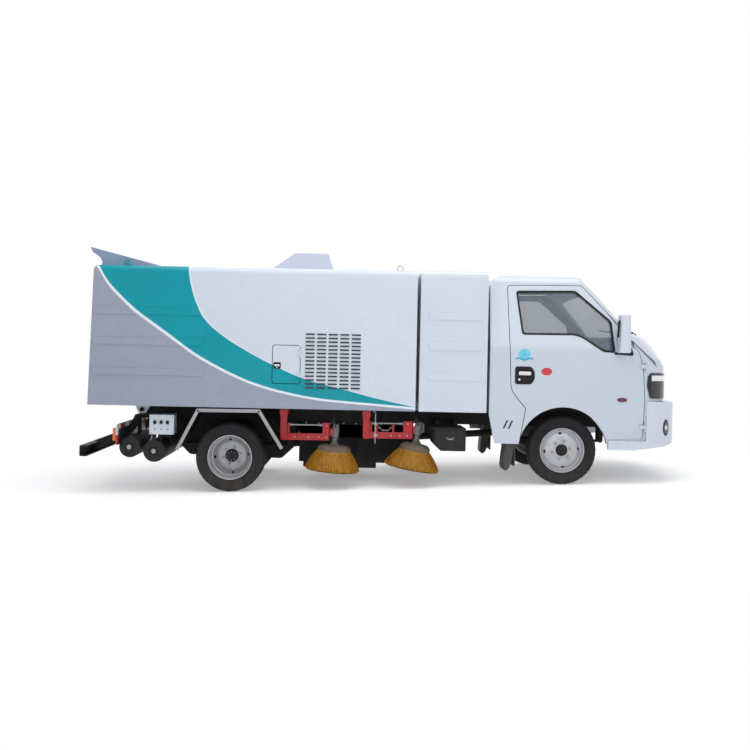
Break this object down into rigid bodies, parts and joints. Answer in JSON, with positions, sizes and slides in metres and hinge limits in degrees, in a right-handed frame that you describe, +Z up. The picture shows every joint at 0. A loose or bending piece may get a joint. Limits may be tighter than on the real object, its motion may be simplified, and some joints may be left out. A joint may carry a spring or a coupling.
{
  "type": "street sweeper truck",
  "caption": "Compact truck-mounted street sweeper: tipping hopper body, louvred fan bay, side brushes, suction nozzle, white cab with teal stripe.",
  "frame": {"origin": "centre of the bounding box at road level", "axes": "+X forward along the truck, +Y left, +Z up"},
  "size_m": [5.3102, 1.9592, 2.1628],
  "materials": {
    "frame_black": "satin black chassis paint",
    "tank_black": "satin black paint, bright drain plug",
    "tyre": "worn road tyre",
    "rim_silver": "silver wheel paint, road dust",
    "cast_grey": "grey casting",
    "black_plastic": "matt black",
    "white_paint": "glossy white with a teal and grey swoosh",
    "light_bar_white": "white, red and white reflective ends",
    "lamp_red": "red lens",
    "flap_rubber": "matt rubber",
    "nozzle_black": "matt black",
    "spoiler_grey": "blue grey",
    "glass": "tinted cab glass",
    "lamp_clear": "clear lens over a bright reflector",
    "interior_grey": "grained dark grey",
    "seat_cloth": "dark woven cloth",
    "brush_red": "red arms",
    "bristle": "golden stiff bristle",
    "chrome_rod": "polished rod"
  },
  "bodies": {
    "chassis": {"frame_rails": "frame_black", "leaf_springs": "frame_black", "rear_axle": "frame_black", "front_axle": "frame_black", "engine": "cast_grey", "air_tanks": "tank_black", "fuel_tank": "frame_black", "tool_box": "black_plastic", "control_box": "white_paint", "rear_bumper": "frame_black", "rear_light_bar": "light_bar_white", "tail_lamps": "lamp_red", "rear_mudguards": "black_plastic", "front_mud_flaps": "flap_rubber", "suction_nozzle": "nozzle_black", "front_cabinet": "white_paint", "cab_shell": "white_paint", "windscreen": "glass", "front_bumper": "white_paint", "headlamps": "lamp_clear", "grille": "black_plastic", "dashboard": "interior_grey", "seats": "seat_cloth", "brush_mounts": "frame_black"},
    "tipping_body": {"sweeper_body": "white_paint", "louvre_panels": "black_plastic", "roof_vent": "white_paint", "tail_spoiler": "spoiler_grey", "suction_fan": "cast_grey"},
    "tail_door": {"tail_door": "white_paint"},
    "hatch_right": {"hatch_right": "white_paint"},
    "hatch_left": {"hatch_left": "white_paint"},
    "cab_door_right": {"cab_door_right": "white_paint", "door_glass_right": "glass", "door_mirror_right": "white_paint"},
    "cab_door_left": {"cab_door_left": "white_paint", "door_glass_left": "glass", "door_mirror_left": "white_paint"},
    "knuckle_left": {"knuckle_left": "frame_black"},
    "knuckle_right": {"knuckle_right": "frame_black"},
    "front_wheel_left": {"front_tyre_left": "tyre", "front_rim_left": "rim_silver"},
    "front_wheel_right": {"front_tyre_right": "tyre", "front_rim_right": "rim_silver"},
    "rear_wheels_left": {"rear_tyres_left": "tyre", "rear_rims_left": "rim_silver"},
    "rear_wheels_right": {"rear_tyres_right": "tyre", "rear_rims_right": "rim_silver"},
    "steering_wheel": {"steering_wheel": "interior_grey"},
    "tipping_cylinder_barrel": {"tipping_cylinder_barrel": "frame_black"},
    "tipping_cylinder_rod": {"tipping_cylinder_rod": "chrome_rod"},
    "front_brush_arm_left": {"front_brush_arm_left": "brush_red"},
    "front_brush_left": {"front_brush_left": "bristle"},
    "front_brush_arm_right": {"front_brush_arm_right": "brush_red"},
    "front_brush_right": {"front_brush_right": "bristle"},
    "rear_brush_arm_left": {"rear_brush_arm_left": "brush_red"},
    "rear_brush_left": {"rear_brush_left": "bristle"},
    "rear_brush_arm_right": {"rear_brush_arm_right": "brush_red"},
    "rear_brush_right": {"rear_brush_right": "bristle"}
  },
  "joints": [
    {"name": "steer_left", "type": "hinge", "parent": "chassis", "child": "knuckle_left", "pos_m": [1.55549, 0.57, 0.3], "axis": [0.0407, 0, 0.9992], "range_deg": [-32, 32]},
    {"name": "steer_right", "type": "hinge", "parent": "chassis", "child": "knuckle_right", "pos_m": [1.55549, -0.57, 0.3], "axis": [0.0407, 0, 0.9992], "range_deg": [-32, 32]},
    {"name": "steering_wheel_turn", "type": "hinge", "parent": "chassis", "child": "steering_wheel", "pos_m": [1.96245, 0.38, 1.15115], "axis": [-0.495, 0, 0.8689], "range_deg": [-480, 480]},
    {"name": "front_wheel_left_spin", "type": "hinge", "parent": "knuckle_left", "child": "front_wheel_left", "pos_m": [1.55549, 0.69, 0.3], "axis": [0, 1, 0], "continuous": true},
    {"name": "front_wheel_right_spin", "type": "hinge", "parent": "knuckle_right", "child": "front_wheel_right", "pos_m": [1.55549, -0.69, 0.3], "axis": [0, 1, 0], "continuous": true},
    {"name": "rear_wheels_left_spin", "type": "hinge", "parent": "chassis", "child": "rear_wheels_left", "pos_m": [-1.34491, 0.63, 0.3], "axis": [0, 1, 0], "continuous": true},
    {"name": "rear_wheels_right_spin", "type": "hinge", "parent": "chassis", "child": "rear_wheels_right", "pos_m": [-1.34491, -0.63, 0.3], "axis": [0, 1, 0], "continuous": true},
    {"name": "cab_door_right_swing", "type": "hinge", "parent": "chassis", "child": "cab_door_right", "pos_m": [2.27752, -0.828, 0.753], "axis": [0.0407, 0, 0.9992], "range_deg": [0, 65]},
    {"name": "cab_door_left_swing", "type": "hinge", "parent": "chassis", "child": "cab_door_left", "pos_m": [2.27752, 0.828, 0.753], "axis": [-0.0407, 0, -0.9992], "range_deg": [0, 65]},
    {"name": "body_tip", "type": "hinge", "parent": "chassis", "child": "tipping_body", "pos_m": [-2.18083, 0, 0.71235], "axis": [0, -1, 0], "range_deg": [0, 45]},
    {"name": "tail_door_swing", "type": "hinge", "parent": "tipping_body", "child": "tail_door", "pos_m": [-2.49656, 0, 1.90518], "axis": [0, 1, 0], "range_deg": [0, 80]},
    {"name": "hatch_right_swing", "type": "hinge", "parent": "tipping_body", "child": "hatch_right", "pos_m": [-0.71405, -0.858, 1.09499], "axis": [0.0407, 0, 0.9992], "range_deg": [0, 105]},
    {"name": "hatch_left_swing", "type": "hinge", "parent": "tipping_body", "child": "hatch_left", "pos_m": [-0.71405, 0.858, 1.09499], "axis": [-0.0407, 0, -0.9992], "range_deg": [0, 105]},
    {"name": "tipping_cylinder_swing", "type": "hinge", "parent": "chassis", "child": "tipping_cylinder_barrel", "pos_m": [-1.58657, 0, 0.51001], "axis": [0, -1, 0], "range_deg": [0, 59.5]},
    {"name": "tipping_rod_slide", "type": "slide", "parent": "tipping_cylinder_barrel", "child": "tipping_cylinder_rod", "axis": [0.9734, 0, 0.2289], "range_m": [0, 0.4296]},
    {"name": "front_brush_arm_left_lower", "type": "hinge", "parent": "chassis", "child": "front_brush_arm_left", "pos_m": [-0.15243, 0.64, 0.45962], "axis": [0, 1, 0], "range_deg": [0, 8.5]},
    {"name": "front_brush_left_spin", "type": "hinge", "parent": "front_brush_arm_left", "child": "front_brush_left", "pos_m": [0.32173, 0.64, 0.5524], "axis": [-0.1965, 0, -0.9805], "continuous": true},
    {"name": "front_brush_arm_right_lower", "type": "hinge", "parent": "chassis", "child": "front_brush_arm_right", "pos_m": [-0.15243, -0.64, 0.45962], "axis": [0, 1, 0], "range_deg": [0, 8.5]},
    {"name": "front_brush_right_spin", "type": "hinge", "parent": "front_brush_arm_right", "child": "front_brush_right", "pos_m": [0.32173, -0.64, 0.5524], "axis": [-0.1965, 0, -0.9805], "continuous": true},
    {"name": "rear_brush_arm_left_lower", "type": "hinge", "parent": "chassis", "child": "rear_brush_arm_left", "pos_m": [-0.88293, 0.64, 0.46234], "axis": [0, 1, 0], "range_deg": [0, 9.8]},
    {"name": "rear_brush_left_spin", "type": "hinge", "parent": "rear_brush_arm_left", "child": "rear_brush_left", "pos_m": [-0.41708, 0.64, 0.54746], "axis": [-0.1103, 0, -0.9939], "continuous": true},
    {"name": "rear_brush_arm_right_lower", "type": "hinge", "parent": "chassis", "child": "rear_brush_arm_right", "pos_m": [-0.88293, -0.64, 0.46234], "axis": [0, 1, 0], "range_deg": [0, 9.8]},
    {"name": "rear_brush_right_spin", "type": "hinge", "parent": "rear_brush_arm_right", "child": "rear_brush_right", "pos_m": [-0.41708, -0.64, 0.54746], "axis": [-0.1103, 0, -0.9939], "continuous": true}
  ],
  "couplings": [
    {"joint": "steer_right", "follows": "steer_left", "ratio": 1},
    {"joint": "steering_wheel_turn", "follows": "steer_left", "ratio": 15},
    {"joint": "tipping_cylinder_swing", "follows": "body_tip", "ratio": 1.3111},
    {"joint": "tipping_rod_slide", "follows": "body_tip", "m_per_rad": 0.54185}
  ]
}
